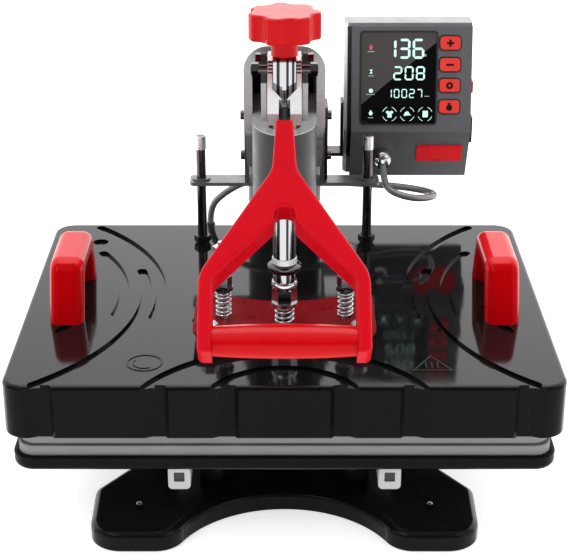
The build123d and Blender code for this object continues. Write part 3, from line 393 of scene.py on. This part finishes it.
def band(name, rings, plane, thickness, material, body, lift=0.0):
    """Flat bands between an outer and an inner outline of the same count, closed or open."""
    at = placer(plane)
    bm = bmesh.new()
    for outer, inner, closed in rings:
        layers = []
        for height in (lift, lift + thickness):
            layers.append([[bm.verts.new(at(a, b, height)) for a, b in side]
                           for side in (outer, inner)])
        (out_low, in_low), (out_high, in_high) = layers
        count = len(outer)
        for i in range(count if closed else count - 1):
            j = (i + 1) % count
            bm.faces.new((out_high[i], out_high[j], in_high[j], in_high[i]))
            bm.faces.new((out_low[j], out_low[i], in_low[i], in_low[j]))
            bm.faces.new((out_low[i], out_low[j], out_high[j], out_high[i]))
            bm.faces.new((in_low[j], in_low[i], in_high[i], in_high[j]))
        if not closed:
            for i in (0, count - 1):
                bm.faces.new((out_low[i], out_high[i], in_high[i], in_low[i]))
    return add_object(name, closed_mesh(name, bm), material, body)


def circle_points(x, y, radius, start=0.0, end=360.0, count=48):
    steps = count if end - start >= 359.9 else count - 1
    angles = [math.radians(start + (end - start) * i / steps) for i in range(count)]
    return [(x + radius * math.cos(angle), y + radius * math.sin(angle)) for angle in angles]


def arc_band(x, y, radius, width, start=0.0, end=360.0, count=48):
    closed = end - start >= 359.9
    return (circle_points(x, y, radius + width / 2, start, end, count),
            circle_points(x, y, radius - width / 2, start, end, count), closed)


def rounded(x, y, w, h, r, count=8):
    """A rounded rectangle centred on (x, y)."""
    a, b = w / 2 - r, h / 2 - r
    points = []
    for cx, cy, start in ((a, b, 0), (-a, b, 90), (-a, -b, 180), (a, -b, 270)):
        points += circle_points(x + cx, y + cy, r, start, start + 90, count)
    return points


def box_outline(x0, y0, x1, y1):
    return [(x0, y0), (x1, y0), (x1, y1), (x0, y1)]


def moved(shape, x, y):
    return [(x + a, y + b) for a, b in shape]


def ring(bm, centre, side, other, radius, steps):
    """The corners of one ring, in the plane of two directions."""
    return [bm.verts.new(centre + (side * math.cos(math.tau * k / steps)
                                   + other * math.sin(math.tau * k / steps)) * radius)
            for k in range(steps)]


def skin(bm, rings):
    """Walls from ring to ring and a cap at each end."""
    steps = len(rings[0])
    for low, high in zip(rings, rings[1:]):
        for k in range(steps):
            bm.faces.new((low[k], low[(k + 1) % steps], high[(k + 1) % steps], high[k]))
    bm.faces.new(list(reversed(rings[0])))
    bm.faces.new(rings[-1])


def turned(name, profile, origin, axis, material, body, angle=35):
    """A turned piece: profile of (radius, height) in mm about an axis through origin."""
    origin, axis = Vector(origin) * MM, Vector(axis).normalized()
    side = axis.orthogonal().normalized()
    other = axis.cross(side)
    bm = bmesh.new()
    skin(bm, [ring(bm, origin + axis * height * MM, side, other, radius * MM, 48)
              for radius, height in profile])
    return add_object(name, closed_mesh(name, bm, angle), material, body)


def tube_along(name, points, radius, steps):
    """A closed round tube along dense points, carried without twist."""
    bm = bmesh.new()
    side = (points[1] - points[0]).normalized().orthogonal().normalized()
    rings = []
    for i, point in enumerate(points):
        ahead = points[min(i + 1, len(points) - 1)] - points[max(i - 1, 0)]
        ahead.normalize()
        side = (side - ahead * side.dot(ahead)).normalized()
        rings.append(ring(bm, point, side, ahead.cross(side), radius, steps))
    skin(bm, rings)
    return closed_mesh(name, bm, 60)


# ---- heater cable ---------------------------------------------------------------------------
CABLE_DIAMETER = 0.006
plug_end = Vector((86.5, 160.38, 189.27))
plug_axis = Vector((0, -0.8845, -0.4666))
cable_route = [plug_end, plug_end + plug_axis * 12]
cable_route += [Vector(point) for point in (
    (89, 127, 179), (111.5, 117, 175), (133, 133, 172), (126, 161.5, 166.5), (95, 165.5, 170),
    (52, 158, 175), (8, 153, 181.5), (-32, 153, 180), (-56, 158, 164), (-66, 162, 150),
    (-66, 162, 136))]
line_data = bpy.data.curves.new("cable_line", "CURVE")
line_data.dimensions = "3D"
line_data.resolution_u = 24
spline = line_data.splines.new("NURBS")
spline.points.add(len(cable_route) - 1)
for control, point in zip(spline.points, cable_route):
    control.co = (*(point * MM), 1)
spline.order_u = 3
spline.use_endpoint_u = True
line_object = bpy.data.objects.new("cable_line", line_data)
scene.collection.objects.link(line_object)
bpy.context.view_layer.update()
depsgraph = bpy.context.evaluated_depsgraph_get()
line_mesh = bpy.data.meshes.new_from_object(line_object.evaluated_get(depsgraph))
cable_path = [vertex.co.copy() for vertex in line_mesh.vertices]
bpy.data.objects.remove(line_object)
cable_mesh = tube_along("heater_cable_sleeve", cable_path, CABLE_DIAMETER / 2, 18)
cable = add_object("heater_cable_sleeve", cable_mesh, cable_grey, None)
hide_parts("heater_cable")
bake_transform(cable)


# ---- springs --------------------------------------------------------------------------------
TURN_POINTS = 28
END_CLOSING = 0.055


def coil(name, node, wire, turns):
    """A compression spring that fills its node's box, with its end turns closed."""
    low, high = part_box(node)
    middle = (low + high) / 2
    radius = (high.x - low.x) / 2 - wire
    start, end = low.z + wire, high.z - wire
    points = []
    count = int(turns * TURN_POINTS)
    for i in range(count + 1):
        t = i / count
        rise = t - END_CLOSING * math.sin(math.tau * t)
        angle = math.tau * turns * t
        points.append(Vector((middle.x + radius * math.cos(angle),
                              middle.y + radius * math.sin(angle), start + (end - start) * rise)))
    piece = add_object(name, tube_along(name, points, wire, 10), spring_wire, "platen")
    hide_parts(node)


coil("coil_left", "side_spring_left", 1.0 * MM, 6.5)
coil("coil_right", "side_spring_right", 1.0 * MM, 6.5)
coil("coil_ram", "ram_spring", 1.1 * MM, 4.0)

# ---- ram and guide rod trim -----------------------------------------------------------------
RAM_Y = -60
ROD_X, ROD_Y, ROD_TOP = 70.5, 112, 222.05
STUD_X, STUD_Y, STUD_TOP = 46, -61, 182.0
turned("ram_ring", [(8.65, 0), (11.6, 1.2), (12.6, 3.0), (12.6, 5.4), (11.4, 6.6), (8.65, 7.2)],
       (0, RAM_Y, 184), UP, dark_chrome, "platen")
turned("ram_band", [(8.65, 0), (9.3, 0.5), (9.3, 4.6), (8.65, 5.0)], (0, RAM_Y, 191.3), UP,
       bright_zinc, "platen")
turned("ram_foot_ring", [(8.65, 0), (9.7, 0.8), (9.9, 3.4), (9.2, 5.0), (8.65, 5.2)],
       (0, RAM_Y, 172.2), UP, chrome, "platen")
turned("spindle_collar", [(4.2, 0), (7.6, 0), (8.0, 0.05), (8.0, 0.28), (4.2, 0.28)],
       (0, RAM_Y, 350), UP, black_steel, "platen")
rod_sleeve = [(4.05, 0), (4.5, 0.3), (4.5, 11.4), (4.1, 11.9), (0.5, 11.9)]
stud_tip = [(3.02, 0), (3.02, 4.2), (2.4, 4.9), (0.4, 5.0)]
for side_name, sign in SIDES:
    turned(f"rod_sleeve_{side_name}", rod_sleeve, (sign * ROD_X, ROD_Y, ROD_TOP), UP, zinc,
           "platen")
    turned(f"stud_tip_{side_name}", stud_tip, (sign * STUD_X, STUD_Y, STUD_TOP), UP, black_steel,
           "platen")

# chrome strain relief where the cable leaves the control box
RELIEF_LENGTH = 16
relief_profile = [(8.5, 0), (8.5, 4.6), (8.3, 7.0), (7.5, 9.4), (6.1, 11.2), (4.9, 12.0),
                  (4.6, 13.0), (4.3, 15.9)]
relief = turned("cable_relief", relief_profile, plug_end - plug_axis * RELIEF_LENGTH, plug_axis,
                chrome, "swing_arm", angle=50)
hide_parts("cable_connector")

# ---- screws on the base and rail ends -------------------------------------------------------
SCREW_SEAT = 17.55
SCREW_HEAD = [(2.1, 0), (2.1, 0.25), (1.5, 0.8), (0.5, 1.05)]
SCREW_PLACES = [(-110, -118), (110, -118), (-100, 216), (100, 216)]
for number, (x, y) in enumerate(SCREW_PLACES, start=1):
    turned(f"base_screw_{number}", SCREW_HEAD, (x, y, SCREW_SEAT), UP, zinc, "base")

RAIL_X, RAIL_FRONT, RAIL_Z = 76.8, -146.05, 57
rail_rim = rounded(0, 0, 16.2, 17.6, 3.2)
rail_hole = rounded(0, 1.2, 7.8, 7.8, 0.7)
for side_name, sign in SIDES:
    rail_plane = ((sign * RAIL_X, RAIL_FRONT, RAIL_Z), RIGHT, UP)
    band(f"rail_end_{side_name}", [(rail_rim, rail_hole, True)], rail_plane, 1.4, rail_grey, "base")
    plates(f"rail_plug_{side_name}", [rail_hole], rail_plane, 0.3, moulding, "base")

# ---- display --------------------------------------------------------------------------------
FACE_EDGE = (0, 162, 220.5)
FACE = (FACE_EDGE, RIGHT, (0, 0.19717, 0.98037))
SEGMENTS = {"0": "abcdef", "1": "bc", "2": "abged", "3": "abgcd", "6": "afgedc", "7": "abc",
            "8": "abcdefg"}
INK, INK_LIFT = 0.06, 0.02
ICON_X, ICON_UP = (91.3, 106.7, 122.2), 15.8
SIGN_X = 74.9


def bar(x0, y0, x1, y1, t):
    """A pointed display bar from one end to the other."""
    dx, dy = x1 - x0, y1 - y0
    length = math.hypot(dx, dy)
    dx, dy = dx / length * t / 2, dy / length * t / 2
    return [(x0, y0), (x0 + dx - dy, y0 + dy + dx), (x1 - dx - dy, y1 - dy + dx), (x1, y1),
            (x1 - dx + dy, y1 - dy - dx), (x0 + dx + dy, y0 + dy - dx)]


def figure(symbol, x, y, w, h, t):
    """The bars of one seven-bar figure whose lower left corner is (x, y)."""
    gap = 0.12 * t
    mid = y + h / 2
    ends = {
        "a": (x + gap, y + h, x + w - gap, y + h),
        "b": (x + w, mid + gap, x + w, y + h - gap),
        "c": (x + w, y + gap, x + w, mid - gap),
        "d": (x + gap, y, x + w - gap, y),
        "e": (x, y + gap, x, mid - gap),
        "f": (x, mid + gap, x, y + h - gap),
        "g": (x + gap, mid, x + w - gap, mid),
    }
    return [bar(*ends[key], t) for key in SEGMENTS[symbol]]


def lit(name, outlines, thickness, material):
    """Lit shapes on the display glass."""
    plates(name, outlines, FACE, thickness, material, "swing_arm", lift=INK_LIFT)


# each row: figures, left, low, width, height, bar thickness, step to the next figure
ROWS = [("136", 87.5, 64.6, 8.0, 15.0, 2.1, 12.0), ("208", 94.8, 45.8, 6.3, 10.6, 1.5, 9.8),
        ("10027", 88.6, 30.2, 4.0, 6.9, 0.85, 6.6)]
figures = []
for text, x, y, w, h, t, step in ROWS:
    for place, symbol in enumerate(text):
        figures += figure(symbol, x + place * step, y, w, h, t)
lit("display_figures", figures, INK, mint)

brackets = [arc_band(x, ICON_UP, 6.2, 0.45, start, start + 50, 10)
            for x in ICON_X for start in (20, 110, 200, 290)]
brackets.append(arc_band(121.4, 66.5, 0.8, 0.3, 0, 360, 16))
band("display_brackets", brackets, FACE, INK, mint, "swing_arm", lift=INK_LIFT)
shirt = [(-3.4, 2.0), (-1.4, 3.0), (-0.7, 2.2), (0.7, 2.2), (1.4, 3.0), (3.4, 2.0), (2.6, 0.4),
         (1.8, 0.8), (1.8, -3.0), (-1.8, -3.0), (-1.8, 0.8), (-2.6, 0.4)]
cap = [(-3.2, -1.6), (-2.2, 1.2), (-0.6, 2.4), (1.0, 2.0), (2.0, 0.2), (3.4, -1.2), (1.0, -1.0)]
sheet = [(-2.2, -2.8), (1.9, -2.8), (2.4, -2.2), (2.4, 2.8), (-2.2, 2.8)]
drop = [(0, 2.6), (-1.7, -0.2), (-1.2, -1.7), (0, -2.2), (1.2, -1.7), (1.7, -0.2)]
sandglass = [(-1.5, 1.7), (1.5, 1.7), (0.2, 0), (1.5, -1.7), (-1.5, -1.7), (-0.2, 0)]
icons = [moved(shape, x, ICON_UP) for x, shape in zip(ICON_X, (shirt, cap, sheet))]
icons += [moved(drop, SIGN_X, 16.9), circle_points(SIGN_X, 36.0, 1.8, count=20),
          moved(sandglass, SIGN_X, 52.5)]
lit("display_icons", icons, INK, mint)
flame = [(0, 3.0), (-1.6, 0.2), (-1.3, -1.8), (0, -2.6), (1.3, -1.8), (1.6, 0.2)]
lit("display_heat_mark", [moved(flame, 74.6, 73.4)], INK, ember)
RULE = 0.5
rules = [(71.8, 69.4, 5.6), (72.2, 48.6, 5.2), (70.8, 32.6, 7.4), (72.6, 12.4, 4.6),
         (121.4, 31.0, 4.0)]
lit("display_rules", [box_outline(x, y, x + w, y + RULE) for x, y, w in rules], 0.05, mint_dim)

# bezel round the display and a dark ring round each key
GLASS_X, GLASS_UP = 98.7, 46.8
KEY_X, KEYS_UP = 142.8, (77.0, 58.5, 40.6, 22.2)
RIM_THICKNESS = 0.5
bezel = (rounded(GLASS_X, GLASS_UP, 67.4, 81.4, 3.6), rounded(GLASS_X, GLASS_UP, 64.6, 78.6, 2.2),
         True)
band("display_bezel", [bezel], FACE, RIM_THICKNESS, moulding, "swing_arm")
dark_rings = [(rounded(KEY_X, up, 19.8, 13.6, 4.2), rounded(KEY_X, up, 18.1, 11.8, 3.3), True)
         for up in KEYS_UP]
band("key_dark_rings", dark_rings, FACE, RIM_THICKNESS, moulding, "swing_arm")

# symbols on the keys
KEY_INK, KEY_FACE = 0.08, 2.01
plus = [(-3.1, -0.95), (-0.95, -0.95), (-0.95, -3.1), (0.95, -3.1), (0.95, -0.95), (3.1, -0.95),
        (3.1, 0.95), (0.95, 0.95), (0.95, 3.1), (-0.95, 3.1), (-0.95, 0.95), (-3.1, 0.95)]
minus = box_outline(-3.3, -0.95, 3.3, 0.95)
gourd = circle_points(0, -0.7, 2.7, -235, 55, 28) + circle_points(0, 2.6, 1.2, -30, 210, 14)
for number, shape in ((1, plus), (2, minus), (4, gourd)):
    plates(f"key_mark_{number}", [moved(shape, KEY_X, KEYS_UP[number - 1])], FACE, KEY_INK, key_ink,
           f"button_{number}", lift=KEY_FACE)
band("key_mark_3", [arc_band(KEY_X, KEYS_UP[2], 2.1, 1.9, 0, 360, 32)], FACE, KEY_INK, key_ink,
     "button_3", lift=KEY_FACE)

# plain rim on the red plate of the lower face
LOWER_FACE = (FACE_EDGE, RIGHT, (0, -0.4666, 0.8845))
badge_ring = (rounded(136.5, -26, 40, 19, 0.8), rounded(136.5, -26, 38.2, 17.2, 0.5), True)
band("badge_rim", [badge_ring], LOWER_FACE, 0.25, badge_red, "swing_arm", lift=1.0)

# ---- generic marks on the cover -------------------------------------------------------------
TOP = ((0, 0, 137.5), RIGHT, BACK)
MARK = 0.5
RING_X, RING_Y = -101.5, -120
TRIANGLE_X = 106.6
ring_mark = [arc_band(RING_X, RING_Y, 12.6, 1.0, 0, 360, 56),
             arc_band(RING_X, RING_Y, 8.4, 0.9, 150, 300, 24)]
band("cover_ring_mark", ring_mark, TOP, MARK, mark_black, "platen")
triangle_out = [(TRIANGLE_X, -108.5), (TRIANGLE_X - 15, -133.0), (TRIANGLE_X + 15, -133.0)]
triangle_in = [(TRIANGLE_X, -110.9), (TRIANGLE_X - 12.9, -131.8), (TRIANGLE_X + 12.9, -131.8)]
band("cover_triangle_mark", [(triangle_out, triangle_in, True)], TOP, MARK, mark_black, "platen")
triangle_bars = [box_outline(TRIANGLE_X + x - 0.5, -128.5, TRIANGLE_X + x + 0.5, -119.5)
                 for x in (-4.2, 0, 4.2)]
plates("cover_triangle_bars", triangle_bars, TOP, MARK, mark_black, "platen")

# ---- studio ---------------------------------------------------------------------------------
FLOOR_HALF, FLOOR_Z, FLOOR_GLOW = 15.0, -0.0006, 0.60
floor_mesh = bpy.data.meshes.new("studio_floor")
bm = bmesh.new()
bmesh.ops.create_grid(bm, x_segments=2, y_segments=2, size=FLOOR_HALF)
bm.to_mesh(floor_mesh)
bm.free()
floor = bpy.data.objects.new("studio_floor", floor_mesh)
floor.location = (0, 0, FLOOR_Z)
scene.collection.objects.link(floor)
floor_white = finish("floor_m", (0.90, 0.90, 0.90), 0.7, bump=0.0, shade=0.01, specular=0.2)
floor_shader = floor_white.node_tree.nodes["Principled BSDF"].inputs
floor_shader["Emission Color"].default_value = (1, 1, 1, 1)
floor_shader["Emission Strength"].default_value = FLOOR_GLOW
floor_mesh.materials.append(floor_white)


def softbox(name, location, target, size, power):
    """A large soft light aimed at a point."""
    data = bpy.data.lights.new(name, "AREA")
    data.shape = "RECTANGLE"
    data.size, data.size_y = size
    data.energy = power
    light = bpy.data.objects.new(name, data)
    light.location = location
    direction = Vector(target) - Vector(location)
    light.rotation_euler = direction.to_track_quat("-Z", "Y").to_euler()
    scene.collection.objects.link(light)


softbox("key_light", (-1.3, -1.5, 1.9), (0, -0.05, 0.15), (1.3, 1.0), 15)
softbox("fill_light", (1.6, -1.2, 1.2), (0, 0, 0.2), (1.2, 1.0), 6)
softbox("top_light", (0, 0.3, 2.4), (0, 0, 0.1), (1.8, 1.4), 12)

world = bpy.data.worlds.new("studio_world")
scene.world = world
world.use_nodes = True
tree = world.node_tree
background = tree.nodes["Background"]
background.inputs["Strength"].default_value = 1.0
coords = tree.nodes.new("ShaderNodeTexCoord")
split = tree.nodes.new("ShaderNodeSeparateXYZ")
tree.links.new(coords.outputs["Generated"], split.inputs["Vector"])


def fade(reading, low, high, dim, full):
    """A reading of the sky's direction turned into a brightness between dim and full."""
    ramp = tree.nodes.new("ShaderNodeMapRange")
    ramp.inputs["From Min"].default_value = low
    ramp.inputs["From Max"].default_value = high
    ramp.inputs["To Min"].default_value = dim
    ramp.inputs["To Max"].default_value = full
    tree.links.new(reading, ramp.inputs["Value"])
    return ramp.outputs["Result"]


# the sky is bright behind the press, dark in front of it and a little dimmer on the left
sky = tree.nodes.new("ShaderNodeMath")
sky.operation = "MULTIPLY"
tree.links.new(fade(split.outputs["Y"], -1.0, 0.6, 0.10, 1.95), sky.inputs[0])
tree.links.new(fade(split.outputs["X"], -0.30, -0.05, 0.80, 1.0), sky.inputs[1])
tree.links.new(sky.outputs[0], background.inputs["Color"])
